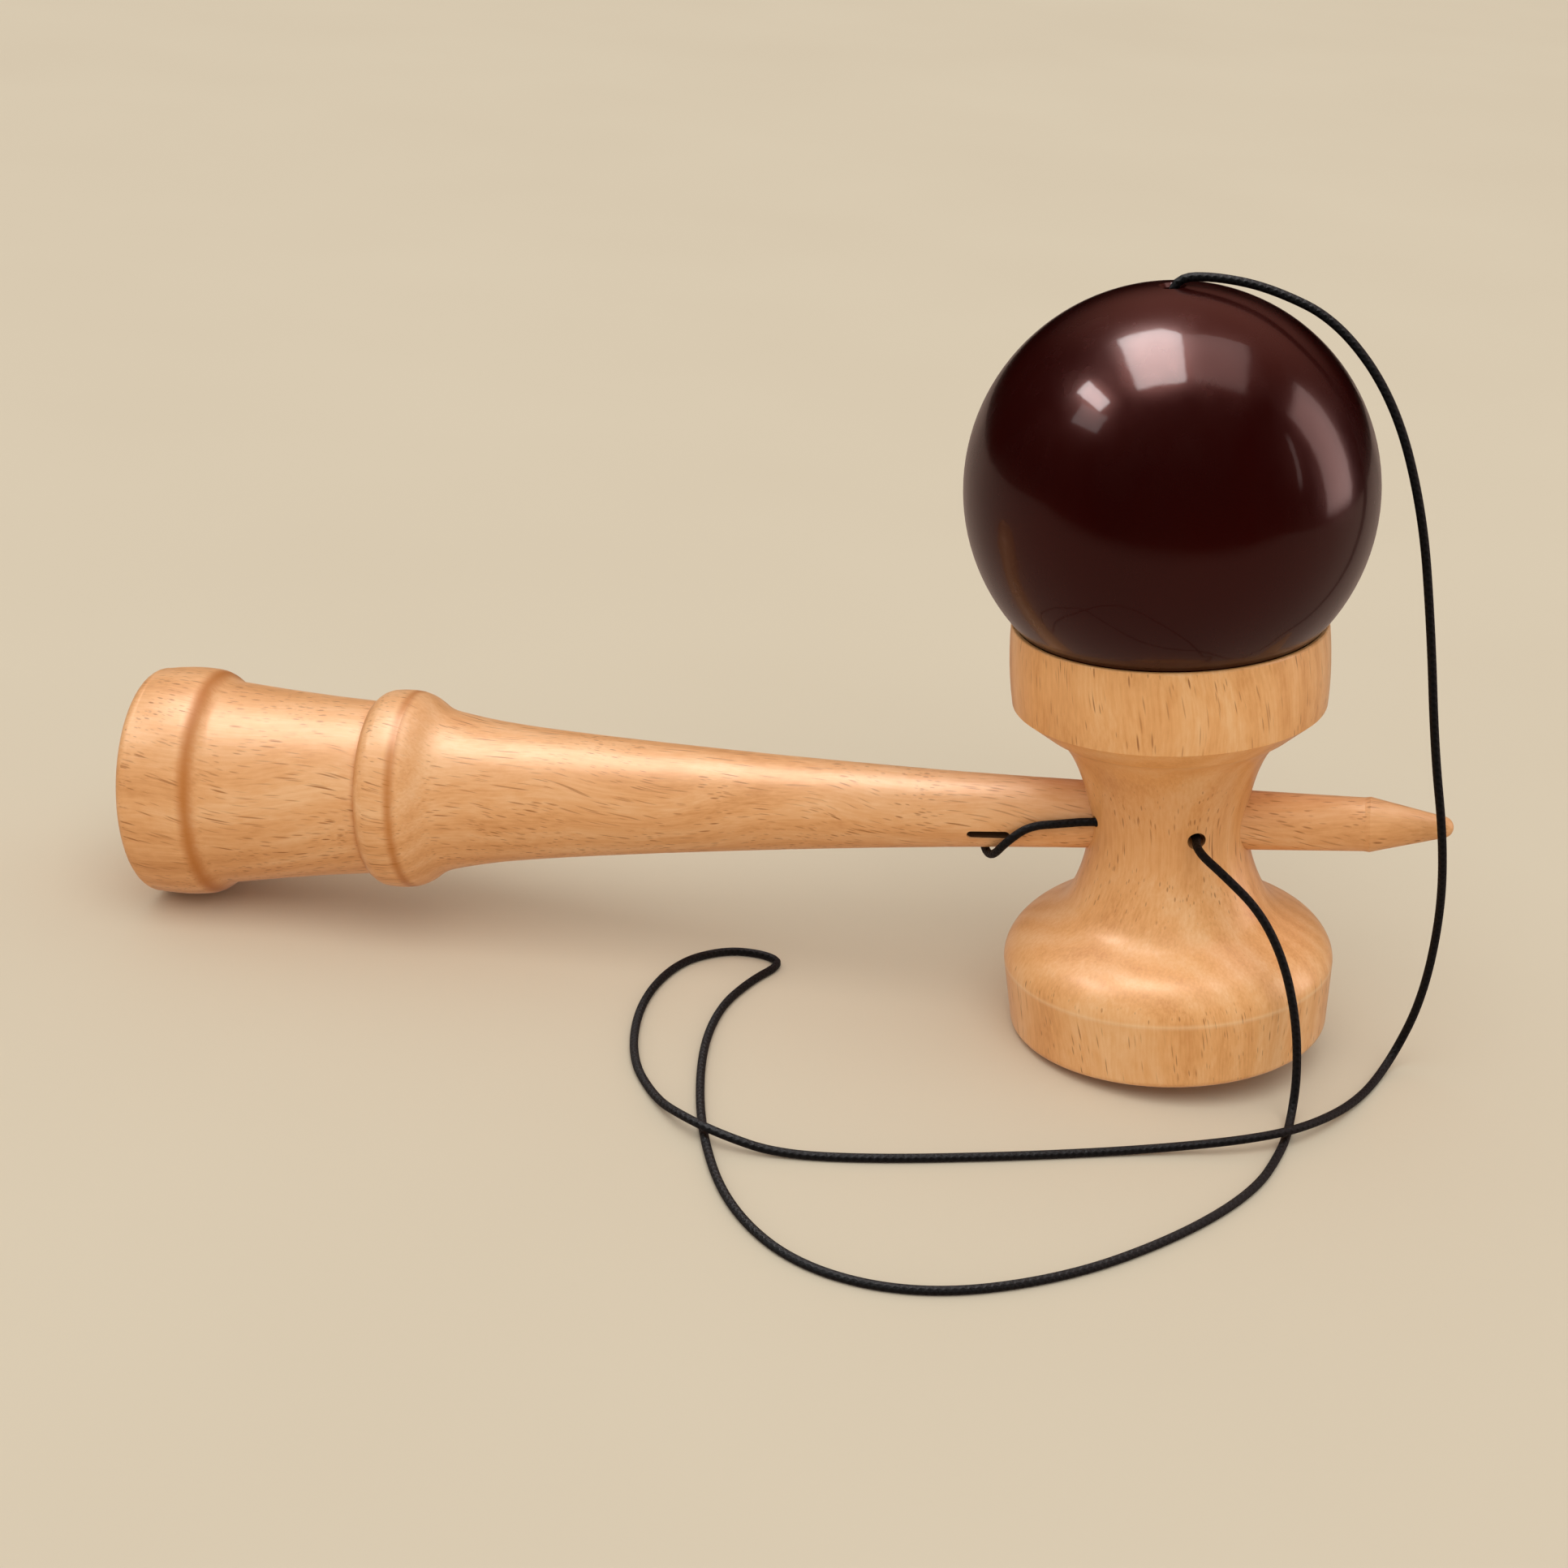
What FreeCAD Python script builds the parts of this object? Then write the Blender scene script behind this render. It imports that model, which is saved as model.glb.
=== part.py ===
import FreeCAD, Part
import math
import os

# Kendama: a turned ken (handle with spike and base cup), a turned cross piece
# with two cups (sarado), a ball (tama) seated in the small cup, and one string.
# Millimetres. The turned pieces are drawn upright, with the cross piece along Z
# and the ken along X, its spike at +X. They are then leaned back as one, until
# the collar of the base cup and the rim of the big cup both rest on Z = 0. The
# origin is on the ground under the middle of the leaning ken.

V = FreeCAD.Vector
X_AXIS = V(1, 0, 0)
Y_AXIS = V(0, 1, 0)
Z_AXIS = V(0, 0, 1)

# Rest: lean about Y towards the base cup, then down to the ground
LEAN = 6.495
REST_X = 4.73
REST_DROP = 4.199

# Ball
TAMA_RADIUS = 30.0
SPIKE_HOLE_RADIUS = 7.6
SPIKE_HOLE_DEPTH = 44.0
SPIKE_HOLE_BEVEL = 2.0
STRING_HOLE_RADIUS = 1.5

# Cross piece
SARADO_X = 60.2
SARADO_HEIGHT = 65.4
SMALL_CUP_LIP = 22.7
SMALL_CUP_RADIUS = 23.1
SMALL_CUP_SPHERE = 26.0
BIG_CUP_LIP = 22.3
BIG_CUP_RADIUS = 25.1
BIG_CUP_SPHERE = 27.0
WAIST_RADIUS = 11.9
SEAT_GAP = 0.15

# Handle
KEN_LENGTH = 204.8
KEN_Z = 33.7
BASE_CUP_LIP = 15.0
BASE_CUP_SPHERE = 16.3
BORE_LEFT_X = 45.5
BORE_LEFT_RADIUS = 5.22
CONE_X = 89.4
CONE_RADIUS = 4.03
SPIKE_X = 90.2
SPIKE_RADIUS = 4.15
TIP_CONE_X = 101.14
TIP_CONE_RADIUS = 1.59
TIP_BALL = 1.633

# String
CORD_RADIUS = 0.65
CORD_DIAMETER = 2 * CORD_RADIUS
SLOT_LENGTH = 6.6
SLOT_HEIGHT = 1.5
SLOT_X = 33.45
SLOT_TILT = 20.0
GROOVE_RADIUS = 0.85
SIDE_HOLE_RADIUS = 1.3
SIDE_HOLE_X = 65.2
SIDE_HOLE_Z = 34.6
MOUTH_Y = -10.9

# Stop bead and knots
BEAD_RADIUS = 4.2
BEAD_HOLE_RADIUS = 1.0
KNOT_RADIUS = 1.9
KNOT_HEIGHT = 3.4

SEAT_HEIGHT = math.sqrt(TAMA_RADIUS**2 - SMALL_CUP_LIP**2)
TAMA_Z = SARADO_HEIGHT + SEAT_HEIGHT + SEAT_GAP
TAMA_TOP = TAMA_Z + TAMA_RADIUS
HOLE_END_Z = TAMA_Z - TAMA_RADIUS + SPIKE_HOLE_DEPTH
BEAD_Z = HOLE_END_Z - BEAD_RADIUS - 0.1
TAIL_TOP = TAMA_TOP - 1.2


def lean(shape):
    """The shape as it rests: leaned back and lowered to the ground."""
    rested = shape.copy()
    rested.rotate(V(0, 0, 0), Y_AXIS, -LEAN)
    rested.translate(V(REST_X, 0, -REST_DROP))
    return rested


def rest_point(x, y, z):
    """Where a point of the upright toy lies once it rests."""
    point = Part.Vertex(x, y, z)
    rested = lean(point).Point
    return rested.x, rested.y, rested.z


def line(a, b):
    return Part.LineSegment(V(*a), V(*b)).toShape()


def arc(a, middle, b):
    return Part.Arc(V(*a), V(*middle), V(*b)).toShape()


def curve(points):
    """Smooth curve through the points."""
    spline = Part.BSplineCurve()
    spline.interpolate([V(*p) for p in points])
    return spline.toShape()


def turned(edges, base, axis):
    """Solid of revolution of a closed outline."""
    face = Part.Face(Part.Wire(edges))
    solid = face.revolve(base, axis, 360)
    if solid.Volume < 0:
        solid.reverse()
    return solid


def dish_depth(sphere, lip):
    return sphere - math.sqrt(sphere**2 - lip**2)


def dish_side(sphere, lip):
    """Depth of a dish at half its lip radius."""
    return dish_depth(sphere, lip) - dish_depth(sphere, lip / 2)


def tube(points, radius):
    """Round tube along straight runs joined by tangent arcs, each as large as its runs allow."""
    corners = [V(*p) for p in points]
    runs = [b - a for a, b in zip(corners, corners[1:])]
    ways = [V(run).normalize() for run in runs]
    section = Part.Circle(corners[0], ways[0], radius).toShape()
    skins = [Part.Face(Part.Wire(section))]
    place = corners[0]
    radii = []
    length = 0.0
    for corner, run, following, way, turn_to in zip(corners[1:], runs, runs[1:], ways, ways[1:]):
        reach = 0.45 * min(run.Length, following.Length)
        turn = way.getAngle(turn_to)
        bend = reach / math.tan(turn / 2)
        start = corner - way * reach
        skins.append(section.extrude(start - place))
        section = section.translated(start - place)
        centre = corner + V(turn_to - way).normalize() * (bend / math.cos(turn / 2))
        axis = way.cross(turn_to)
        skins.append(section.revolve(centre, axis, math.degrees(turn)))
        section = section.rotated(centre, axis, math.degrees(turn))
        length += (start - place).Length + bend * turn
        place = corner + turn_to * reach
        radii.append(bend)
    skins.append(section.extrude(corners[-1] - place))
    section = section.translated(corners[-1] - place)
    length += (corners[-1] - place).Length
    skins.append(Part.Face(Part.Wire(section)))
    shell = Part.Shell(skins)
    shell.sewShape()
    solid = Part.Solid(shell)
    if solid.Volume < 0:
        solid.reverse()
    return solid, length, radii


def ken_outline():
    """Outline of the handle from the middle of its base cup to the tip of the spike."""
    base = -KEN_LENGTH / 2
    tip = KEN_LENGTH / 2
    depth = dish_depth(BASE_CUP_SPHERE, BASE_CUP_LIP)
    side = dish_side(BASE_CUP_SPHERE, BASE_CUP_LIP)
    z = KEN_Z
    shaft = [
        (-51.6, 0, z + 12.45),
        (-46.8, 0, z + 11.5),
        (-36.3, 0, z + 10.2),
        (-18.0, 0, z + 8.65),
        (3.0, 0, z + 7.2),
        (25.6, 0, z + 5.95),
        (BORE_LEFT_X, 0, z + BORE_LEFT_RADIUS),
    ]
    lean = math.atan2(SPIKE_RADIUS - TIP_CONE_RADIUS, TIP_CONE_X - SPIKE_X)
    ball = tip - TIP_BALL
    touch = (ball + TIP_BALL * math.sin(lean), 0, z + TIP_BALL * math.cos(lean))
    halfway = (math.pi / 2 - lean) / 2
    nose = (ball + TIP_BALL * math.cos(halfway), 0, z + TIP_BALL * math.sin(halfway))
    return [
        arc((base + depth, 0, z), (base + side, 0, z + BASE_CUP_LIP / 2), (base, 0, z + BASE_CUP_LIP)),
        line((base, 0, z + BASE_CUP_LIP), (base, 0, z + 16.3)),
        arc((base, 0, z + 16.3), (base + 0.55, 0, z + 17.5), (base + 2.0, 0, z + 18.0)),
        arc((base + 2.0, 0, z + 18.0), (base + 6.5, 0, z + 18.3), (-92.6, 0, z + 18.1)),
        arc((-92.6, 0, z + 18.1), (-91.0, 0, z + 17.65), (-89.9, 0, z + 16.9)),
        arc((-89.9, 0, z + 16.9), (-88.9, 0, z + 16.3), (-87.8, 0, z + 16.05)),
        arc((-87.8, 0, z + 16.05), (-76.0, 0, z + 14.65), (-64.5, 0, z + 13.65)),
        line((-64.5, 0, z + 13.65), (-64.3, 0, z + 14.35)),
        arc((-64.3, 0, z + 14.35), (-63.4, 0, z + 15.15), (-62.0, 0, z + 15.6)),
        arc((-62.0, 0, z + 15.6), (-59.9, 0, z + 15.7), (-57.9, 0, z + 15.5)),
        arc((-57.9, 0, z + 15.5), (-56.4, 0, z + 14.95), (-55.2, 0, z + 14.2)),
        arc((-55.2, 0, z + 14.2), (-53.6, 0, z + 13.1), (-51.6, 0, z + 12.45)),
        curve(shaft),
        line(shaft[-1], (CONE_X, 0, z + CONE_RADIUS)),
        line((CONE_X, 0, z + CONE_RADIUS), (SPIKE_X, 0, z + SPIKE_RADIUS)),
        line((SPIKE_X, 0, z + SPIKE_RADIUS), touch),
        arc(touch, nose, (tip, 0, z)),
        line((tip, 0, z), (base + depth, 0, z)),
    ]


def string_slot():
    """Oblong slot across the handle, lower at the front than at the back."""
    half = (SLOT_LENGTH - SLOT_HEIGHT) / 2
    across = V(0, 20, 0)
    start = V(SLOT_X - half, -10, -SLOT_HEIGHT / 2)
    slot = Part.makeBox(2 * half, 20, SLOT_HEIGHT, start)
    for end in (-half, half):
        slot = slot.fuse(Part.makeCylinder(SLOT_HEIGHT / 2, 20, V(SLOT_X + end, -10, 0), across))
    slot.rotate(V(SLOT_X, 0, 0), X_AXIS, SLOT_TILT)
    slot.translate(V(0, 0, KEN_Z))
    return slot.removeSplitter()


def make_ken():
    return turned(ken_outline(), V(0, 0, KEN_Z), X_AXIS).cut(string_slot())


def sarado_outline():
    """Outline of the cross piece from the middle of the big cup up to the small cup."""
    x = SARADO_X
    top = SARADO_HEIGHT
    big_depth = dish_depth(BIG_CUP_SPHERE, BIG_CUP_LIP)
    big_side = dish_side(BIG_CUP_SPHERE, BIG_CUP_LIP)
    small_floor = top - dish_depth(SMALL_CUP_SPHERE, SMALL_CUP_LIP)
    small_side = top - dish_side(SMALL_CUP_SPHERE, SMALL_CUP_LIP)
    waist = [
        (x + BIG_CUP_RADIUS, 0, 10.7),
        (x + 24.6, 0, 12.9),
        (x + 23.1, 0, 15.0),
        (x + 19.7, 0, 17.4),
        (x + 16.0, 0, 20.0),
        (x + 13.9, 0, 23.6),
        (x + WAIST_RADIUS, 0, 33.4),
        (x + 13.7, 0, 42.7),
        (x + 15.9, 0, 46.8),
        (x + 19.1, 0, 49.4),
    ]
    small_corner = (x + 23.3, 0, 52.9)
    return [
        arc((x, 0, big_depth), (x + BIG_CUP_LIP / 2, 0, big_side), (x + BIG_CUP_LIP, 0, 0)),
        line((x + BIG_CUP_LIP, 0, 0), (x + 23.0, 0, 0)),
        arc((x + 23.0, 0, 0), (x + 23.92, 0, 0.38), (x + 24.3, 0, 1.3)),
        line((x + 24.3, 0, 1.3), waist[0]),
        curve(waist),
        line(waist[-1], small_corner),
        arc(small_corner, (x + 23.6, 0, 58.0), (x + 23.3, 0, 65.1)),
        arc((x + 23.3, 0, 65.1), (x + 23.22, 0, 65.32), (x + SMALL_CUP_RADIUS, 0, top)),
        line((x + SMALL_CUP_RADIUS, 0, top), (x + SMALL_CUP_LIP, 0, top)),
        arc((x + SMALL_CUP_LIP, 0, top), (x + SMALL_CUP_LIP / 2, 0, small_side), (x, 0, small_floor)),
        line((x, 0, small_floor), (x, 0, big_depth)),
    ]


def handle_bore():
    """Tapered bore across the waist, the size of the handle that is driven into it."""
    reach = 15.0
    slope = (CONE_RADIUS - BORE_LEFT_RADIUS) / (CONE_X - BORE_LEFT_X)
    left = SARADO_X - reach + 0.3
    left_radius = BORE_LEFT_RADIUS + slope * (left - BORE_LEFT_X)
    right_radius = left_radius + slope * 2 * reach
    return Part.makeCone(left_radius, right_radius, 2 * reach, V(left, 0, KEN_Z), X_AXIS)


def make_sarado(groove):
    """Cross piece with the handle's bore, the string's groove in it and the side hole."""
    body = turned(sarado_outline(), V(SARADO_X, 0, 0), Z_AXIS)
    hole = Part.makeCylinder(SIDE_HOLE_RADIUS, 9, V(SIDE_HOLE_X, -6.0, SIDE_HOLE_Z), -Y_AXIS)
    return body.cut(handle_bore()).cut(groove.fuse(hole))


def make_tama():
    """Ball with the spike hole below, its bevelled mouth, and the string hole on top."""
    ball = Part.makeSphere(TAMA_RADIUS, V(SARADO_X, 0, TAMA_Z))
    low = TAMA_Z - TAMA_RADIUS
    bore = Part.makeCylinder(SPIKE_HOLE_RADIUS, SPIKE_HOLE_DEPTH, V(SARADO_X, 0, low))
    mouth = TAMA_Z - math.sqrt(TAMA_RADIUS**2 - SPIKE_HOLE_RADIUS**2)
    wide = SPIKE_HOLE_RADIUS + SPIKE_HOLE_BEVEL
    bevel = Part.makeCone(wide, SPIKE_HOLE_RADIUS, SPIKE_HOLE_BEVEL, V(SARADO_X, 0, mouth))
    below = Part.makeCylinder(wide, mouth - low, V(SARADO_X, 0, low))
    string_hole = Part.makeCylinder(STRING_HOLE_RADIUS, 40, V(SARADO_X, 0, HOLE_END_Z - 1))
    sink = Part.makeCone(STRING_HOLE_RADIUS, STRING_HOLE_RADIUS + 0.6, 0.6, V(SARADO_X, 0, TAMA_TOP - 0.6))
    return ball.cut(bore.fuse(bevel).fuse(below).fuse(string_hole).fuse(sink))


def make_bead():
    """Stop bead at the blind end of the spike hole."""
    bead = Part.makeSphere(BEAD_RADIUS, V(SARADO_X, 0, BEAD_Z))
    hole = Part.makeCylinder(BEAD_HOLE_RADIUS, 4 * BEAD_RADIUS, V(SARADO_X, 0, BEAD_Z - 2 * BEAD_RADIUS))
    return bead.cut(hole)


def bead_foot():
    """Height of the lower rim of the bead's hole."""
    return BEAD_Z - math.sqrt(BEAD_RADIUS**2 - BEAD_HOLE_RADIUS**2)


def make_bead_knot():
    """Overhand knot under the bead, a round lump with flat ends."""
    top = bead_foot() - 0.35
    low = top - KNOT_HEIGHT
    x = SARADO_X
    outline = [
        line((x, 0, low), (x + CORD_RADIUS, 0, low)),
        arc((x + CORD_RADIUS, 0, low), (x + KNOT_RADIUS, 0, (low + top) / 2), (x + CORD_RADIUS, 0, top)),
        line((x + CORD_RADIUS, 0, top), (x, 0, top)),
        line((x, 0, top), (x, 0, low)),
    ]
    return turned(outline, V(x, 0, 0), Z_AXIS)


def make_tail():
    """String inside the ball, from its top hole through the bead to the knot."""
    low = bead_foot() - 0.35
    return Part.makeCylinder(CORD_RADIUS, TAIL_TOP - low, V(SARADO_X, 0, low))


def make_ken_knot(start):
    """Knot jammed in the handle's slot, where the string begins."""
    knot = Part.makeCylinder(SLOT_HEIGHT / 2 - 0.05, 2.6, V(start) + V(-1.3, 0, 0), X_AXIS)
    back = V(0, math.cos(math.radians(SLOT_TILT)), math.sin(math.radians(SLOT_TILT)))
    knot.translate(back * -(SLOT_HEIGHT / 2 - 0.05))
    plug = Part.makeCylinder(CORD_RADIUS, SLOT_HEIGHT / 2, V(start) - back * (SLOT_HEIGHT / 2), back)
    return knot.fuse(plug).removeSplitter()


# String from its knot in the slot, round the back of the handle and under it,
# up its front, through the groove beside it and out of the side hole.
HELD_ROUTE = [
    (31.0, 2.9, 34.76),
    (31.0, 6.6, 36.10),
    (31.0, 6.4, 30.3),
    (31.6, 2.1, 26.8),
    (33.6, -3.4, 27.3),
    (36.3, -6.6, 31.3),
    (39.8, -6.5, 34.1),
    (44.6, -6.1, 34.5),
    (49.3, -5.75, 35.0),
    (SIDE_HOLE_X, -5.36, SIDE_HOLE_Z),
    (SIDE_HOLE_X, MOUTH_Y, SIDE_HOLE_Z),
]

# The string's free stretch, as it rests: out of the side hole, down past the big
# cup, round the ground in two loops and up over the ball into its top hole.
LOW = CORD_RADIUS
OVER = CORD_DIAMETER + 3.0 + CORD_RADIUS
FREE_ROUTE = [
    rest_point(SIDE_HOLE_X, MOUTH_Y, SIDE_HOLE_Z),
    rest_point(SIDE_HOLE_X, MOUTH_Y - 3.0, SIDE_HOLE_Z),
    (70.3, -16.6, 35.1),
    (76.0, -18.4, 31.1),
    (80.3, -19.6, 24.5),
    (83.4, -20.6, 15.8),
    (84.7, -21.2, 7.4),
    (84.9, -23.0, LOW),
    (84.2, -32.4, LOW),
    (81.2, -45.8, LOW),
    (71.4, -61.4, LOW),
    (57.0, -76.4, LOW),
    (39.5, -86.0, LOW),
    (23.0, -84.6, LOW),
    (10.6, -73.1, LOW),
    (2.4, -54.2, LOW),
    (-2.6, -32.3, LOW),
    (-3.1, -16.2, LOW),
    (-0.4, -5.1, LOW),
    (3.2, 2.0, LOW),
    (-0.6, 4.0, LOW),
    (-6.8, 3.0, LOW),
    (-12.9, -3.6, LOW),
    (-15.2, -18.5, LOW),
    (-12.4, -35.5, LOW),
    (-5.8, -47.6, LOW),
    (0.2, -52.2, OVER),
    (5.3, -54.7, OVER),
    (14.0, -56.5, LOW),
    (26.9, -53.7, LOW),
    (46.3, -46.7, LOW),
    (64.2, -39.2, LOW),
    (79.4, -31.5, OVER),
    (86.6, -25.4, OVER),
    (94.4, -15.2, LOW),
    (99.4, 1.6, LOW),
    (102.6, -0.2, 12.2),
    (103.2, -1.4, 27.0),
    (101.0, -5.8, 41.0),
    (97.8, -4.6, 54.7),
    (93.9, -4.0, 72.4),
    (89.8, -4.0, 90.1),
    (83.2, -3.2, 106.4),
    (73.4, -1.2, 116.4),
    (63.0, 0.0, 119.0),
    (56.6, 0.0, 119.3),
    rest_point(SARADO_X, 0, TAMA_TOP + 2.1),
    rest_point(SARADO_X, 0, TAIL_TOP),
]


def report_tube(name, solid, length, radii):
    ideal = math.pi * CORD_RADIUS**2 * length
    shown = " ".join(f"{r:.1f}" for r in radii)
    print(f"{name}: length {length:.1f}, volume {solid.Volume:.1f} against {ideal:.1f}, arcs {shown}")


def main():
    held, held_length, held_radii = tube(HELD_ROUTE, CORD_RADIUS)
    free, free_length, free_radii = tube(FREE_ROUTE, CORD_RADIUS)
    groove = tube(HELD_ROUTE[-4:], GROOVE_RADIUS)[0]
    report_tube("string_held", held, held_length, held_radii)
    report_tube("string_free", free, free_length, free_radii)
    nodes = {
        "ken": lean(make_ken()),
        "sarado": lean(make_sarado(groove)),
        "tama": lean(make_tama()),
        "bead": lean(make_bead()),
        "string_held": lean(held),
        "string_free": free,
        "string_tail": lean(make_tail()),
        "knot_ken": lean(make_ken_knot(HELD_ROUTE[0])),
        "knot_bead": lean(make_bead_knot()),
    }
    os.makedirs("parts", exist_ok=True)
    for name, shape in nodes.items():
        shape.exportStep(f"parts/{name}.step")
        box = shape.optimalBoundingBox(False)
        print(f"{name}: valid {shape.isValid()}, solids {len(shape.Solids)}, {shape.Volume:.0f} mm3, "
              f"X {box.XMin:.2f} {box.XMax:.2f}, Y {box.YMin:.2f} {box.YMax:.2f}, Z {box.ZMin:.2f} {box.ZMax:.2f}")


main()
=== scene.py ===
import bmesh
import bpy
import math
from mathutils import Matrix, Vector


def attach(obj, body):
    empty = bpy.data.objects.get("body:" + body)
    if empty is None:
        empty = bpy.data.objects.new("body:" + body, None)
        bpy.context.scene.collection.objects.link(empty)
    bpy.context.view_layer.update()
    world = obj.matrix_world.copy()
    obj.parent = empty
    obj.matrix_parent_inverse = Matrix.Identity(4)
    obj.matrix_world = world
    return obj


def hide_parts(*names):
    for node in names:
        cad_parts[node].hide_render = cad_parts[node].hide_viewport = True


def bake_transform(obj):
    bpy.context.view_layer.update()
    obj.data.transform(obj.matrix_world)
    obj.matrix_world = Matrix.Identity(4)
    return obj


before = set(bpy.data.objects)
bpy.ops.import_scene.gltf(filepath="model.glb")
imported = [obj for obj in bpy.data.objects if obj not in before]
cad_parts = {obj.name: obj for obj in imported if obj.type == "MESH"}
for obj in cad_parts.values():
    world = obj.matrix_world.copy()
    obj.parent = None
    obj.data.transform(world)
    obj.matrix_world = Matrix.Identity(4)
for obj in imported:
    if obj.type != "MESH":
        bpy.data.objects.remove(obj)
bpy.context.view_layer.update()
scene = bpy.context.scene
scene.view_settings.view_transform = "Standard"

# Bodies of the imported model.
HANDLE = "handle"

# Sizes in metres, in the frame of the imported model, where the toy leans on the ground.
LEAN = math.radians(6.495)
REST_X = 0.00473
REST_DROP = 0.004199
CROSS_X = 0.0602
BALL_CENTRE = Vector((0.054911, 0.0, 0.087224))

# How far from the ball the light and the reflected panels stand.
FAR = 8.0


def rest_point(x, y, z):
    """Where a point of the upright toy lies once it rests."""
    return (
        x * math.cos(LEAN) - z * math.sin(LEAN) + REST_X,
        y,
        x * math.sin(LEAN) + z * math.cos(LEAN) - REST_DROP,
    )


CORD_DIAMETER = 0.0013
CORD_RADIUS = CORD_DIAMETER / 2

# Heights of the cord's axis: lying on the ground, and passing over itself.
LOW = CORD_RADIUS
OVER = 0.00245

SIDE_HOLE = (0.0652, -0.0109, 0.0346)
TAIL_TOP = 0.11396

# The string's free stretch, from the cross piece's side hole to the ball's top hole.
FREE_ROUTE = [
    rest_point(*SIDE_HOLE),
    rest_point(0.0652, -0.0139, 0.0346),
    (0.0703, -0.0166, 0.0353),
    (0.0762, -0.0184, 0.0312),
    (0.0806, -0.0196, 0.0245),
    (0.0836, -0.0206, 0.0158),
    (0.0850, -0.0212, 0.0070),
    (0.0850, -0.0230, LOW),
    (0.0842, -0.0324, LOW),
    (0.0808, -0.0458, LOW),
    (0.0712, -0.0612, LOW),
    (0.0570, -0.0764, LOW),
    (0.0395, -0.0860, LOW),
    (0.0230, -0.0846, LOW),
    (0.0106, -0.0731, LOW),
    (0.0024, -0.0542, LOW),
    (-0.0026, -0.0323, LOW),
    (-0.0033, -0.0165, LOW),
    (-0.0004, -0.0056, LOW),
    (0.0034, 0.0019, LOW),
    (-0.0006, 0.0042, LOW),
    (-0.0068, 0.0033, LOW),
    (-0.0130, -0.0036, LOW),
    (-0.0153, -0.0185, LOW),
    (-0.0124, -0.0357, LOW),
    (-0.0062, -0.0464, LOW),
    (-0.0006, -0.0532, OVER),
    (0.0058, -0.0566, OVER),
    (0.0140, -0.0564, LOW),
    (0.0269, -0.0537, LOW),
    (0.0463, -0.0467, LOW),
    (0.0642, -0.0391, LOW),
    (0.0794, -0.0343, OVER),
    (0.0878, -0.0275, OVER),
    (0.0948, -0.0142, LOW),
    (0.0994, 0.0006, LOW),
    (0.1024, -0.0006, 0.0124),
    (0.1029, -0.0014, 0.0270),
    (0.1011, -0.0058, 0.0410),
    (0.0977, -0.0046, 0.0547),
    (0.0945, -0.0040, 0.0724),
    (0.0906, -0.0040, 0.0901),
    (0.0844, -0.0030, 0.1052),
    (0.0752, -0.0012, 0.1150),
    (0.0655, 0.0, 0.1182),
    (0.0580, 0.0, 0.1190),
    rest_point(CROSS_X + 0.0004, 0.0, 0.1164),
    rest_point(CROSS_X, 0.0, TAIL_TOP),
]


# The string from its knot in the handle's slot, round the handle and into the bore, upright.
HELD_ROUTE = [
    (0.0310, 0.0029, 0.03476),
    (0.0310, 0.0066, 0.03610),
    (0.0310, 0.0064, 0.0303),
    (0.0316, 0.0021, 0.0268),
    (0.0336, -0.0034, 0.0273),
    (0.0363, -0.0066, 0.0313),
    (0.0398, -0.0065, 0.0341),
    (0.0446, -0.0061, 0.0345),
    (0.0493, -0.00575, 0.0350),
    (0.0652, -0.00536, 0.0346),
    SIDE_HOLE,
]


# ---------------------------------------------------------------- camera

CAMERA_AT = (0.071609, -0.420591, 0.218490)
CAMERA_YAW = math.radians(-9.4494)
CAMERA_PITCH = math.radians(23.5707)
CAMERA_ROLL = math.radians(4.3331)
SENSOR = 36.0
FOCAL_PIXELS = 3705.0
FRAME_PIXELS = 1932.0


def make_camera():
    """Camera at the photograph's place: yaw about Z, pitch below the horizon, then a small roll."""
    forward = Vector((
        math.sin(CAMERA_YAW) * math.cos(CAMERA_PITCH),
        math.cos(CAMERA_YAW) * math.cos(CAMERA_PITCH),
        -math.sin(CAMERA_PITCH),
    ))
    level = Vector((math.cos(CAMERA_YAW), -math.sin(CAMERA_YAW), 0.0))
    upright = level.cross(forward)
    right = level * math.cos(CAMERA_ROLL) + upright * math.sin(CAMERA_ROLL)
    up = upright * math.cos(CAMERA_ROLL) - level * math.sin(CAMERA_ROLL)
    turn = Matrix((right, up, -forward)).transposed()
    data = bpy.data.cameras.new("camera")
    data.sensor_width = SENSOR
    data.lens = SENSOR * FOCAL_PIXELS / FRAME_PIXELS
    data.clip_start = 0.01
    camera = bpy.data.objects.new("camera", data)
    camera.matrix_world = Matrix.Translation(CAMERA_AT) @ turn.to_4x4()
    scene.collection.objects.link(camera)
    scene.camera = camera


# ---------------------------------------------------------------- mesh helpers

def new_object(name, mesh):
    """A scene object that holds the mesh."""
    piece = bpy.data.objects.new(name, mesh)
    scene.collection.objects.link(piece)
    return piece


def smooth_route(points, resolution=12):
    """Points along the NURBS spline whose control points are the route's."""
    data = bpy.data.curves.new("route", "CURVE")
    data.dimensions = "3D"
    spline = data.splines.new("NURBS")
    spline.points.add(len(points) - 1)
    for point, place in zip(spline.points, points):
        point.co = (*place, 1.0)
    spline.order_u = 3
    spline.use_endpoint_u = True
    spline.resolution_u = resolution
    holder = bpy.data.objects.new("route", data)
    scene.collection.objects.link(holder)
    mesh = bpy.data.meshes.new_from_object(holder)
    route = [vertex.co.copy() for vertex in mesh.vertices]
    bpy.data.objects.remove(holder)
    bpy.data.curves.remove(data)
    bpy.data.meshes.remove(mesh)
    return route


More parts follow.
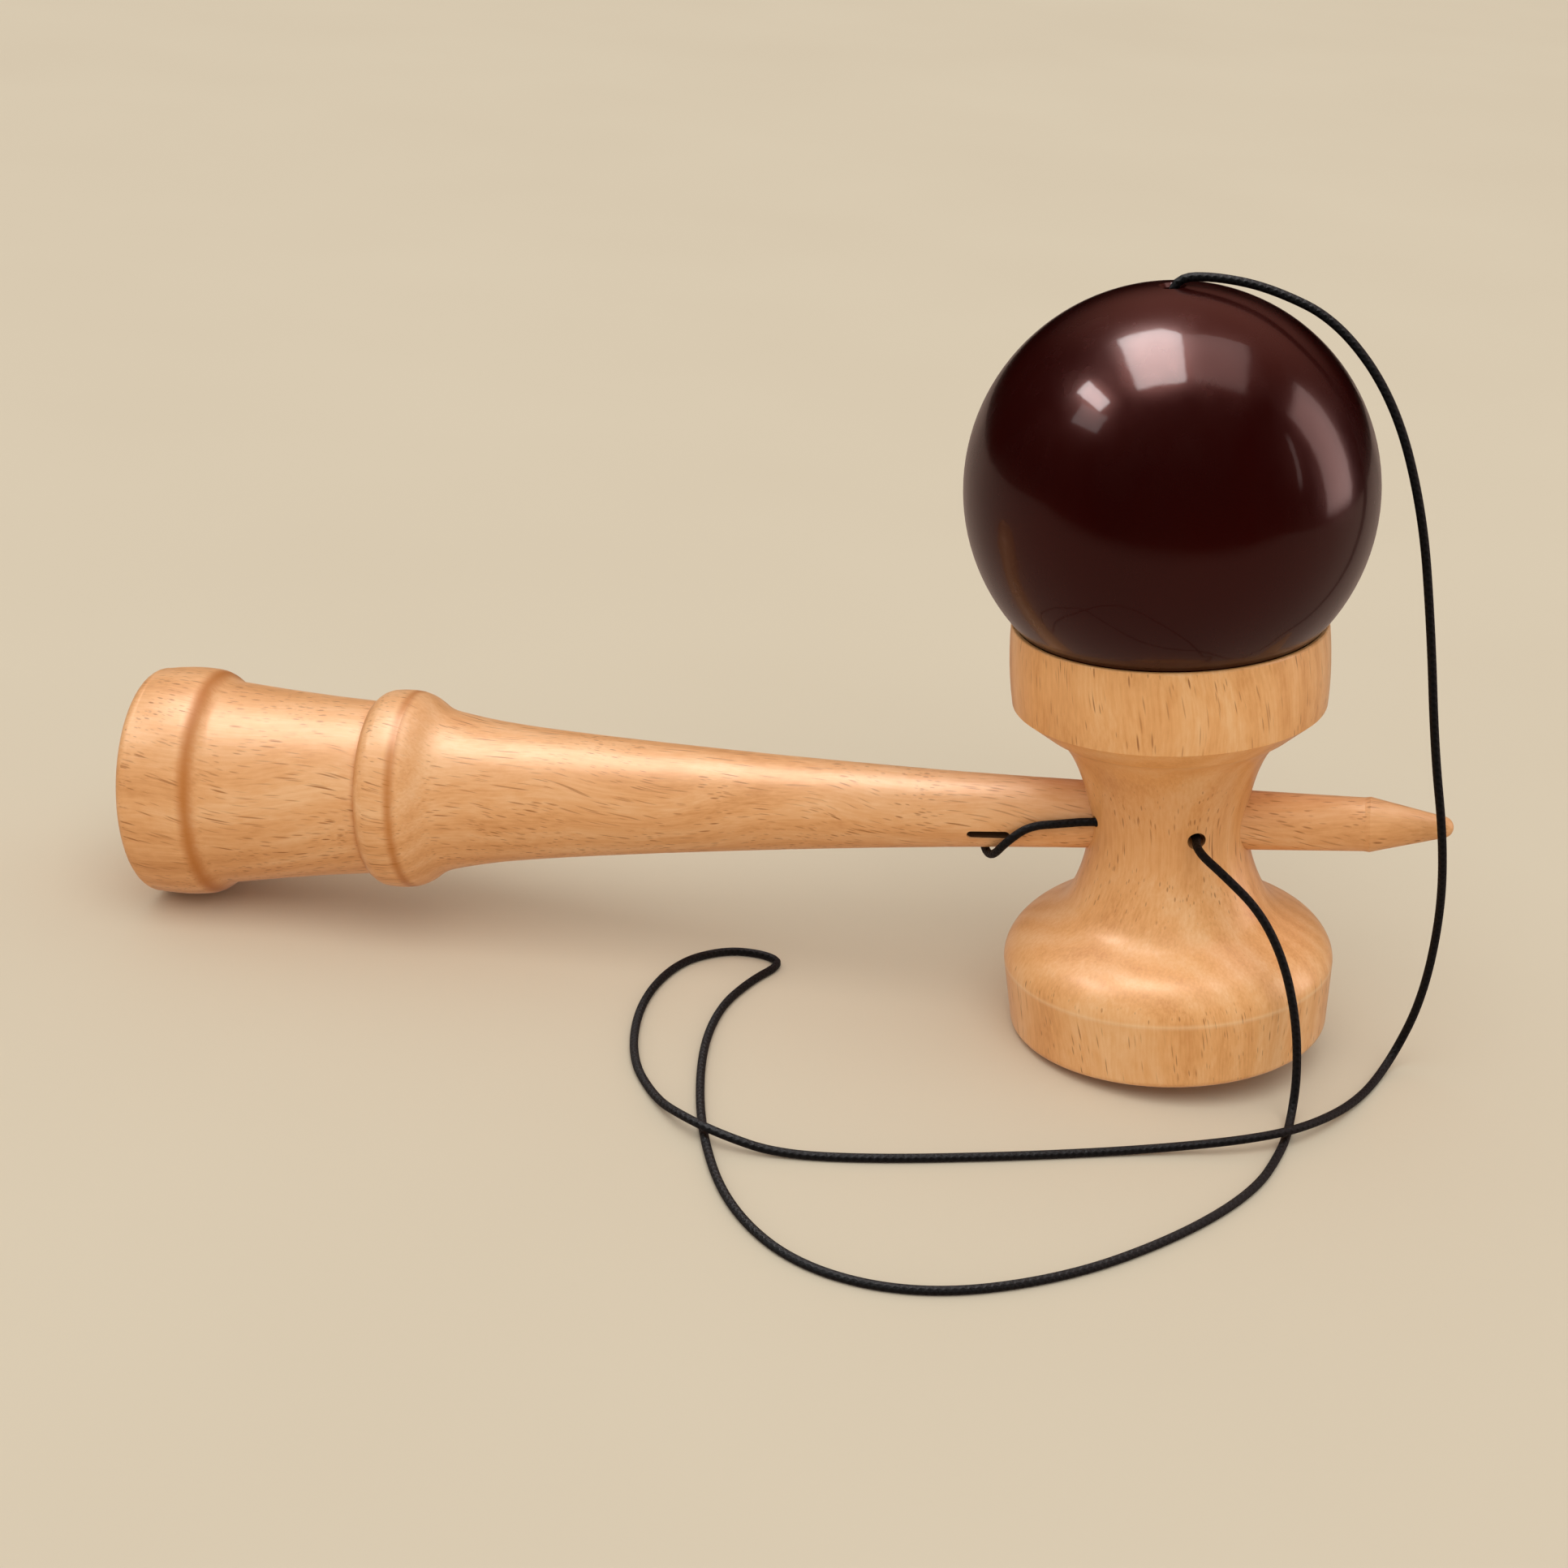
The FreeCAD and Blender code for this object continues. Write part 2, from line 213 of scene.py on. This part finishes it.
def even_points(route, step):
    """The same line with points a step apart."""
    reached = [0.0]
    for a, b in zip(route, route[1:]):
        reached.append(reached[-1] + (b - a).length)
    count = max(2, round(reached[-1] / step))
    points = []
    index = 0
    for k in range(count + 1):
        want = reached[-1] * k / count
        while index < len(route) - 2 and reached[index + 1] < want:
            index += 1
        span = reached[index + 1] - reached[index]
        share = 0.0 if span == 0 else (want - reached[index]) / span
        points.append(route[index].lerp(route[index + 1], share))
    return points, reached[-1]


def tube_mesh(name, points, radius, sides=14):
    """Round tube along points, with UVs in metres: round it in u, along it in v."""
    mesh = bpy.data.meshes.new(name)
    shape = bmesh.new()
    rings = []
    way = (points[1] - points[0]).normalized()
    side = way.orthogonal().normalized()
    travelled = [0.0]
    for a, b in zip(points, points[1:]):
        travelled.append(travelled[-1] + (b - a).length)
    for k, point in enumerate(points):
        before = points[max(k - 1, 0)]
        after = points[min(k + 1, len(points) - 1)]
        new_way = (after - before).normalized()
        side = way.rotation_difference(new_way) @ side
        side = (side - new_way * side.dot(new_way)).normalized()
        way = new_way
        other = way.cross(side)
        ring = []
        for s in range(sides):
            angle = 2 * math.pi * s / sides
            out = side * math.cos(angle) + other * math.sin(angle)
            ring.append(shape.verts.new(point + out * radius))
        rings.append(ring)
    layer = shape.loops.layers.uv.new("UVMap")
    for k, (a, b) in enumerate(zip(rings, rings[1:])):
        for s in range(sides):
            t = (s + 1) % sides
            face = shape.faces.new((a[s], a[t], b[t], b[s]))
            face.smooth = True
            corners = ((s, k), (s + 1, k), (s + 1, k + 1), (s, k + 1))
            for loop, (u, v) in zip(face.loops, corners):
                loop[layer].uv = (u / sides, travelled[v])
    for ring, order in ((rings[0], -1), (rings[-1], 1)):
        cap = shape.faces.new(ring[::order])
        cap.smooth = False
    bmesh.ops.recalc_face_normals(shape, faces=shape.faces)
    shape.to_mesh(mesh)
    shape.free()
    return mesh


# ---------------------------------------------------------------- materials

class Nodes:
    """Short calls for building a node material."""

    def __init__(self, name):
        self.material = bpy.data.materials.new(name)
        self.material.use_nodes = True
        self.tree = self.material.node_tree
        self.shader = self.tree.nodes["Principled BSDF"]

    def add(self, kind, inputs=None, **settings):
        node = self.tree.nodes.new(kind)
        for key, value in settings.items():
            setattr(node, key, value)
        for key, value in (inputs or {}).items():
            self.put(node, key, value)
        return node

    def put(self, node, key, value):
        socket = node.inputs[key]
        if isinstance(value, bpy.types.NodeSocket):
            self.tree.links.new(value, socket)
        elif isinstance(value, bpy.types.Node):
            self.tree.links.new(value.outputs[0], socket)
        else:
            socket.default_value = value

    def math(self, operation, a, b=0.0):
        return self.add("ShaderNodeMath", {0: a, 1: b}, operation=operation).outputs[0]

    def vector_math(self, operation, a, b=None, output="Vector"):
        inputs = {0: a} if b is None else {0: a, 1: b}
        return self.add("ShaderNodeVectorMath", inputs, operation=operation).outputs[output]

    def scaled(self, vector, factor):
        node = self.add("ShaderNodeVectorMath", {0: vector, "Scale": factor}, operation="SCALE")
        return node.outputs["Vector"]

    def weighted_sum(self, parts):
        """The sum of each value times its weight."""
        total = 0.0
        for value, weight in parts:
            total = self.math("ADD", self.math("MULTIPLY", value, weight), total)
        return total

    def own_place(self):
        """The piece's own coordinates."""
        return self.add("ShaderNodeTexCoord").outputs["Object"]

    def place(self, vector, scale=(1.0, 1.0, 1.0), turn=(0.0, 0.0, 0.0), move=(0.0, 0.0, 0.0)):
        """A place scaled per axis, then turned and moved."""
        inputs = {"Vector": vector, "Scale": scale, "Rotation": turn, "Location": move}
        return self.add("ShaderNodeMapping", inputs).outputs[0]

    def part(self, vector, axis):
        return self.add("ShaderNodeSeparateXYZ", {0: vector}).outputs[axis]

    def noise(self, vector, detail=2.0, rough=0.5):
        """Noise one unit of its vector in size, as a number."""
        node = self.add("ShaderNodeTexNoise", {"Vector": vector, "Scale": 1.0, "Detail": detail,
                                               "Roughness": rough})
        return node.outputs[0]

    def ramp(self, value, stops):
        node = self.add("ShaderNodeValToRGB", {"Fac": value})
        elements = node.color_ramp.elements
        while len(elements) < len(stops):
            elements.new(0.5)
        for element, (at, colour) in zip(elements, stops):
            element.position = at
            element.color = (*colour, 1.0)
        return node.outputs[0]

    def fit(self, value, low, high, to_low=0.0, to_high=1.0, smooth=False):
        kind = "SMOOTHSTEP" if smooth else "LINEAR"
        node = self.add("ShaderNodeMapRange", {0: value, 1: low, 2: high, 3: to_low, 4: to_high},
                        interpolation_type=kind)
        return node.outputs[0]

    def mix(self, factor, a, b):
        node = self.add("ShaderNodeMix", data_type="RGBA")
        self.put(node, 0, factor)
        self.put(node, 6, a if isinstance(a, bpy.types.NodeSocket) else (*a, 1.0))
        self.put(node, 7, b if isinstance(b, bpy.types.NodeSocket) else (*b, 1.0))
        return node.outputs[2]

    def bump(self, height, strength, distance):
        inputs = {"Height": height, "Strength": strength, "Distance": distance}
        return self.add("ShaderNodeBump", inputs).outputs[0]

    def set_shader(self, **values):
        """Sets the shader's own sockets, whose names are given with underscores for spaces."""
        for name, value in values.items():
            self.shader.inputs[name.replace("_", " ")].default_value = value


def upright(nodes):
    """Object coordinates turned back so that the cross piece is along Z and the handle along X."""
    cos, sin = math.cos(LEAN), math.sin(LEAN)
    back = (-REST_X * cos + REST_DROP * sin, 0.0, REST_X * sin + REST_DROP * cos)
    return nodes.place(nodes.own_place(), turn=(0.0, LEAN, 0.0), move=back)


def along_grain(across, lengthwise, along):
    """Three scales, one of them for the axis that the grain follows."""
    scale = [across] * 3
    scale[along] = lengthwise
    return tuple(scale)


RING_SPACING = 0.0041
WANDER = 0.012
FLECK_BROWN = (0.37, 0.14, 0.038)
FLECK_SHOW = 0.92
# Painted shade: the darker orange that bands take in the handle's grooves and in the waist under the
# upper cup.
PAINTED_SHADE_TINT = (0.50, 0.165, 0.026)
# Painted highlight: the pale line along the big cup's crease.
PAINTED_HIGHLIGHT_TINT = (0.95, 0.66, 0.38)
# Painted shade inside the handle's slot.
SLOT_PAINTED_SHADE = (0.030, 0.012, 0.006)
SLOT_SHOW = 0.92
TONE_STOPS = (0.34, 0.52, 0.68)


def flecks(nodes, along, length, width, density, seed, bend):
    """Short dashes along the grain: stretched cells, a share of them filled."""
    shifted = nodes.vector_math("ADD", bend, (seed, seed * 1.7, seed * 2.3))
    stretched = nodes.place(shifted, along_grain(1 / width, 1 / length, along))
    cells = nodes.add("ShaderNodeTexVoronoi", {"Vector": stretched, "Scale": 1.0, "Randomness": 1.0},
                      voronoi_dimensions="3D", feature="F1")
    kept = nodes.add("ShaderNodeSeparateColor", {0: cells.outputs["Color"]})
    chosen = nodes.math("LESS_THAN", kept.outputs[0], density)
    core = nodes.fit(cells.outputs["Distance"], 0.30, 0.12, smooth=True)
    depth = nodes.fit(kept.outputs[1], 0.0, 1.0, 0.45, 1.0)
    return nodes.math("MULTIPLY", nodes.math("MULTIPLY", core, chosen), depth)


def band(nodes, value, centre, half):
    """One at a value's centre, falling smoothly to nothing half a width away."""
    away = nodes.math("ABSOLUTE", nodes.math("SUBTRACT", value, centre))
    return nodes.fit(away, half, 0.0, smooth=True)


def side_grain(nodes, along):
    """One where the surface runs along the grain, falling to a tenth where it cuts across it."""
    cos, sin = math.cos(LEAN), math.sin(LEAN)
    grain = (cos, 0.0, sin) if along == 0 else (-sin, 0.0, cos)
    normal = nodes.add("ShaderNodeNewGeometry").outputs["Normal"]
    across = nodes.vector_math("DOT_PRODUCT", normal, grain, "Value")
    return nodes.fit(nodes.math("ABSOLUTE", across), 0.20, 0.60, 1.0, 0.10, smooth=True)


def inside_slot(nodes, where, centre, half, depth, axis_z):
    """Painted shade inside the cross slot of a shaft along X: SLOT_SHOW there, nearer to its axis than
    a depth, and nothing elsewhere.
    """
    away = nodes.math("ABSOLUTE", nodes.math("SUBTRACT", nodes.part(where, 0), centre))
    rise = nodes.math("SUBTRACT", nodes.part(where, 2), axis_z)
    side = nodes.math("POWER", nodes.part(where, 1), 2.0)
    squares = nodes.math("ADD", side, nodes.math("POWER", rise, 2.0))
    deep = nodes.math("LESS_THAN", nodes.math("SQRT", squares), depth)
    inside = nodes.math("MULTIPLY", nodes.math("LESS_THAN", away, half), deep)
    return nodes.math("MULTIPLY", inside, SLOT_SHOW)


def wandering(nodes, where, along):
    """A place shifted slowly from side to side, mostly across the grain."""
    slow = nodes.place(where, along_grain(34.0, 24.0, along))
    wander = nodes.add("ShaderNodeTexNoise", {"Vector": slow, "Scale": 1.0, "Detail": 1.5})
    centred = nodes.vector_math("SUBTRACT", wander.outputs[1], (0.5, 0.5, 0.5))
    return nodes.vector_math("ADD", where, nodes.scaled(centred, WANDER))


def growth_rings(nodes, bent, along, pith):
    """Rings round a pith well outside the piece."""
    offset = nodes.vector_math("SUBTRACT", bent, pith)
    radial = nodes.vector_math("MULTIPLY", offset, along_grain(1.0, 0.05, along))
    distance = nodes.vector_math("LENGTH", radial, output="Value")
    waves = nodes.math("SINE", nodes.math("MULTIPLY", distance, 2 * math.pi / RING_SPACING))
    return nodes.fit(waves, -1.0, 1.0)


def pore_marks(nodes, bent, along, slant, crowd):
    """Long and fine flecks, strongest where the surface shows side grain."""
    leaning = nodes.place(bent, turn=(0.0, slant, 0.0))
    long_flecks = flecks(nodes, along, 0.0125, 0.00060, crowd, 3.1, leaning)
    fine_flecks = flecks(nodes, along, 0.0080, 0.00042, crowd, 11.7, leaning)
    marks = nodes.math("MAXIMUM", long_flecks, nodes.math("MULTIPLY", fine_flecks, 0.8))
    return nodes.math("MULTIPLY", marks, side_grain(nodes, along))


def add_bands(nodes, colour, place, bands, tint):
    """Mixes a tint into the colour along each (centre, half width, strength)."""
    for centre, half, strength in bands:
        share = nodes.math("MULTIPLY", band(nodes, place, centre, half), strength)
        colour = nodes.mix(share, colour, tint)
    return colour


def beech(name, along, pith, tones, slant, crowd, gloss, shade_bands=(), edges=(), slot=None):
    """Turned beech under satin lacquer, its grain along one axis (0 for X, 2 for Z).
    Bands along the grain axis get painted shade in the grooves and in the waist under the upper cup,
    and a painted highlight along a crease; a given slot gets painted shade inside."""
    nodes = Nodes(name)
    where = upright(nodes)
    bent = wandering(nodes, where, along)
    fibres = nodes.noise(nodes.place(bent, along_grain(2400.0, 110.0, along)), 3.0, 0.6)
    clouds = nodes.noise(nodes.place(bent, along_grain(70.0, 26.0, along)), 3.0, 0.55)
    specks = nodes.noise(nodes.place(bent, along_grain(900.0, 420.0, along)), 2.0, 0.6)
    rings = growth_rings(nodes, bent, along, pith)
    tone = nodes.weighted_sum(((specks, 0.18), (clouds, 0.44), (fibres, 0.34), (rings, 0.10)))
    wood = nodes.ramp(tone, tuple(zip(TONE_STOPS, tones)))
    marks = pore_marks(nodes, bent, along, slant, crowd)
    colour = nodes.mix(nodes.math("MULTIPLY", marks, FLECK_SHOW), wood, FLECK_BROWN)
    place = nodes.part(where, along)
    # Painted shade in the grooves and the waist, a painted highlight along the crease, and painted
    # shade inside the slot.
    colour = add_bands(nodes, colour, place, shade_bands, PAINTED_SHADE_TINT)
    colour = add_bands(nodes, colour, place, edges, PAINTED_HIGHLIGHT_TINT)
    if slot:
        colour = nodes.mix(inside_slot(nodes, where, *slot), colour, SLOT_PAINTED_SHADE)
    nodes.put(nodes.shader, "Base Color", colour)
    nodes.put(nodes.shader, "Roughness", nodes.fit(fibres, 0.2, 0.8, 0.36, 0.50))
    specular, coat = gloss
    nodes.set_shader(Specular_IOR_Level=specular, Coat_Weight=coat, Coat_Roughness=0.27)
    height = nodes.math("SUBTRACT", nodes.math("MULTIPLY", fibres, 0.22), marks)
    nodes.put(nodes.shader, "Normal", nodes.bump(height, 0.15, 0.00005))
    return nodes.material


def ball_lacquer():
    """Thick dark maroon lacquer over wood, very glossy, with slight orange peel and handling marks."""
    nodes = Nodes("ball_lacquer")
    where = upright(nodes)
    clouds = nodes.noise(nodes.place(where, (40.0, 40.0, 25.0)))
    colour = nodes.ramp(clouds, [
        (0.30, (0.018, 0.0010, 0.0007)),
        (0.70, (0.025, 0.0018, 0.0012)),
    ])
    nodes.put(nodes.shader, "Base Color", colour)
    smears = nodes.noise(nodes.place(where, (160.0, 160.0, 60.0)), 3.0, 0.6)
    nodes.put(nodes.shader, "Roughness", nodes.fit(smears, 0.3, 0.7, 0.20, 0.30))
    nodes.set_shader(Specular_IOR_Level=0.30, Specular_Tint=(1.0, 0.42, 0.36, 1.0))
    nodes.set_shader(Coat_Weight=0.30, Coat_Roughness=0.055, Coat_IOR=1.5)
    peel = nodes.noise(nodes.place(where, (380.0, 380.0, 380.0)))
    normal = nodes.bump(peel, 0.06, 0.0002)
    nodes.put(nodes.shader, "Normal", normal)
    nodes.put(nodes.shader, "Coat Normal", normal)
    return nodes.material


STRANDS = 4
BRAID_PITCH = 0.0011


def braided_cord():
    """Tightly braided black cord: crossing strands in the bump, with faint light on their crowns."""
    nodes = Nodes("braided_cord")
    uv = nodes.add("ShaderNodeTexCoord").outputs["UV"]
    around = nodes.math("MULTIPLY", nodes.part(uv, 0), 2 * math.pi * STRANDS)
    along = nodes.math("MULTIPLY", nodes.part(uv, 1), 2 * math.pi / BRAID_PITCH)
    one = nodes.math("SINE", nodes.math("ADD", along, around))
    two = nodes.math("SINE", nodes.math("SUBTRACT", along, around))
    weave = nodes.math("MAXIMUM", one, two)
    height = nodes.fit(weave, -0.4, 1.0)
    colour = nodes.ramp(height, [
        (0.0, (0.0012, 0.0012, 0.0013)),
        (1.0, (0.0042, 0.0042, 0.0046)),
    ])
    nodes.put(nodes.shader, "Base Color", colour)
    nodes.set_shader(Roughness=0.62, Specular_IOR_Level=0.25)
    nodes.put(nodes.shader, "Normal", nodes.bump(height, 0.6, 0.00009))
    return nodes.material


def floor_paint():
    """Matt cream with a faint mottle."""
    nodes = Nodes("floor")
    mottle = nodes.noise(nodes.place(nodes.own_place(), (9.0, 9.0, 9.0)))
    colour = nodes.ramp(mottle, [(0.3, (0.690, 0.592, 0.448)), (0.7, (0.705, 0.608, 0.462))])
    nodes.put(nodes.shader, "Base Color", colour)
    nodes.set_shader(Roughness=0.9, Specular_IOR_Level=0.0)
    return nodes.material


# ---------------------------------------------------------------- light and stage

FLOOR_SIZE = 24.0
LIGHT_SIZE = 7.6
LIGHT_GLOW = 1.62
LIGHT_TOWARD = (0.08, -0.50, 1.0)
WARM_GLOW = (1.0, 0.74, 0.70)


def rectangle(name, width, height, material):
    """Flat rectangle round its own origin, facing up."""
    mesh = bpy.data.meshes.new(name)
    x, y = width / 2, height / 2
    mesh.from_pydata([(-x, -y, 0), (x, -y, 0), (x, y, 0), (-x, y, 0)], [], [(0, 1, 2, 3)])
    mesh.materials.append(material)
    return new_object(name, mesh)


def make_floor():
    floor = rectangle("floor", FLOOR_SIZE, FLOOR_SIZE, floor_paint())
    floor.visible_glossy = False
    # what reflections see in the floor's place: a dim table that ends in front of the toy
    mirrored = glow_board("table", 1.8, 1.5, 0.40, 0.30, (1.0, 0.72, 0.58))
    mirrored.location = (0.0, 0.33, -0.001)


def overhead_light():
    """Large soft light above and in front, which shapes the piece and its shadow."""
    data = bpy.data.lights.new("overhead", "AREA")
    data.shape = "SQUARE"
    data.size = LIGHT_SIZE
    data.energy = LIGHT_GLOW * math.pi * LIGHT_SIZE ** 2
    lamp = bpy.data.objects.new("overhead", data)
    toward = Vector(LIGHT_TOWARD).normalized()
    lamp.location = BALL_CENTRE + toward * FAR
    lamp.rotation_euler = toward.to_track_quat("Z", "Y").to_euler()
    lamp.visible_glossy = False
    scene.collection.objects.link(lamp)


def glow_paint(name, half_width, half_height, soft, glow, tint):
    """Light that fades out towards the panel's edges; soft is the faded share of each half."""
    nodes = Nodes(name)
    where = nodes.own_place()
    strength = glow
    for axis, half in ((0, half_width), (1, half_height)):
        away = nodes.math("ABSOLUTE", nodes.part(where, axis))
        inner = nodes.fit(away, half, half * (1 - soft), smooth=True)
        strength = nodes.math("MULTIPLY", inner, strength)
    emission = nodes.add("ShaderNodeEmission", {"Color": (*tint, 1.0), "Strength": strength})
    nodes.put(nodes.tree.nodes["Material Output"], "Surface", emission)
    return nodes.material


def glow_board(name, width, height, glow, soft, tint):
    """Flat glowing board that only reflections see."""
    paint_of_board = glow_paint(name, width / 2, height / 2, soft, glow, tint)
    board = rectangle(name, width, height, paint_of_board)
    board.visible_camera = False
    board.visible_diffuse = False
    board.visible_shadow = False
    board.visible_transmission = False
    return board


def panel(name, direction, width, height, glow, turn=0.0, soft=0.15, tint=(1.0, 1.0, 1.0)):
    """Glowing rectangle far off in a direction from the ball, seen in reflections only.
    Its width and height are as seen from the ball, for a distance of one."""
    board = glow_board(name, width * FAR, height * FAR, glow, soft, tint)
    toward = Vector(direction).normalized()
    board.location = BALL_CENTRE + toward * FAR
    spin = Matrix.Rotation(math.radians(turn), 3, "Z")
    facing = toward.to_track_quat("Z", "Y").to_matrix() @ spin
    board.rotation_euler = facing.to_euler()


def make_reflections():
    """What the lacquer mirrors: a ceiling light, its dim surround, panes, a curtain, the room."""
    panel("ceiling_bright", (-0.235, 0.075, 0.965), 0.76, 0.46, 18.0, turn=28.0)
    panel("ceiling_dim", (0.21, 0.16, 0.97), 0.80, 0.54, 3.0, turn=-22.0, soft=0.3, tint=WARM_GLOW)
    panel("pane_near", (-0.84, -0.22, 0.91), 0.38, 0.13, 24.0, turn=10.0)
    panel("pane_low", (-1.02, -0.50, 0.89), 0.34, 0.18, 3.6, turn=10.0)
    panel("curtain", (0.94, 0.29, 0.33), 0.46, 0.95, 3.6, soft=0.25, tint=WARM_GLOW)
    panel("curtain_edge", (0.91, -0.15, 0.39), 0.06, 0.50, 2.4, turn=-8.0, soft=0.5, tint=WARM_GLOW)
    panel("room", (0.10, 0.75, 1.0), 2.6, 1.9, 0.65, soft=0.9, tint=(1.0, 0.40, 0.30))


def make_world():
    """Dim even light from all round, which reflections don't show."""
    world = bpy.data.worlds.new("studio")
    world.use_nodes = True
    background = world.node_tree.nodes["Background"]
    background.inputs["Color"].default_value = (1.0, 0.985, 0.96, 1.0)
    background.inputs["Strength"].default_value = 0.70
    world.cycles_visibility.glossy = False
    scene.world = world


# ---------------------------------------------------------------- pieces

FREE_STEP = 0.0009
HELD_STEP = 0.0006


def make_string(material):
    """The free stretch, from the side hole at one end, drawn out to the ball's top hole."""
    points, length = even_points(smooth_route(FREE_ROUTE), FREE_STEP)
    mesh = tube_mesh("string", points, CORD_RADIUS)
    string = new_object("string", mesh)
    mesh.materials.append(material)
    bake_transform(string)
    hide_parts("string_free")


def make_held_string(material):
    """The stretch from the handle's slot to the side hole, which the toy holds all the way."""
    route = smooth_route([rest_point(*place) for place in HELD_ROUTE])
    points, _ = even_points(route, HELD_STEP)
    mesh = tube_mesh("string_at_handle", points, CORD_RADIUS)
    held = new_object("string_at_handle", mesh)
    mesh.materials.append(material)
    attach(held, HANDLE)
    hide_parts("string_held")


def paint(node, material):
    """Gives a carried-over CAD node one material."""
    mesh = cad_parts[node].data
    mesh.materials.clear()
    mesh.materials.append(material)
    for polygon in mesh.polygons:
        polygon.material_index = 0


HANDLE_PITH = (0.0, 0.045, -0.020)
HANDLE_TONES = ((0.64, 0.285, 0.096), (0.78, 0.388, 0.158), (0.86, 0.490, 0.240))
HANDLE_GLOSS = (0.24, 0.15)
# Painted shade in the handle's grooves: (centre, half width, strength).
GROOVES = ((-0.0908, 0.0017, 0.85), (-0.0643, 0.0010, 0.50), (-0.0583, 0.0013, 0.75))
# Painted shade inside the handle's slot: centre along X, half length, depth from the axis, axis
# height.
KEN_SLOT = (0.03345, 0.0040, 0.0054, 0.0337)
CUP_PITH = (CROSS_X + 0.030, 0.050, 0.0)
CUP_TONES = ((0.71, 0.308, 0.090), (0.86, 0.432, 0.160), (0.93, 0.540, 0.250))
CUP_GLOSS = (0.36, 0.46)
# Painted shade in the waist under the upper cup, and a painted highlight along the big cup's crease.
WAIST = ((0.0400, 0.0200, 0.22),)
CREASE = ((0.0107, 0.0006, 0.35),)


def main():
    make_camera()
    cord_material = braided_cord()
    make_string(cord_material)
    make_held_string(cord_material)
    make_floor()
    overhead_light()
    make_reflections()
    make_world()
    handle = beech("beech_handle", 0, HANDLE_PITH, HANDLE_TONES, -0.20, 0.85, HANDLE_GLOSS,
                   shade_bands=GROOVES, slot=KEN_SLOT)
    paint("ken", handle)
    cups = beech("beech_cups", 2, CUP_PITH, CUP_TONES, 0.05, 0.33, CUP_GLOSS,
                 shade_bands=WAIST, edges=CREASE)
    paint("sarado", cups)
    paint("tama", ball_lacquer())
    paint("bead", cups)
    for node in ("string_tail", "knot_ken", "knot_bead"):
        paint(node, cord_material)


main()
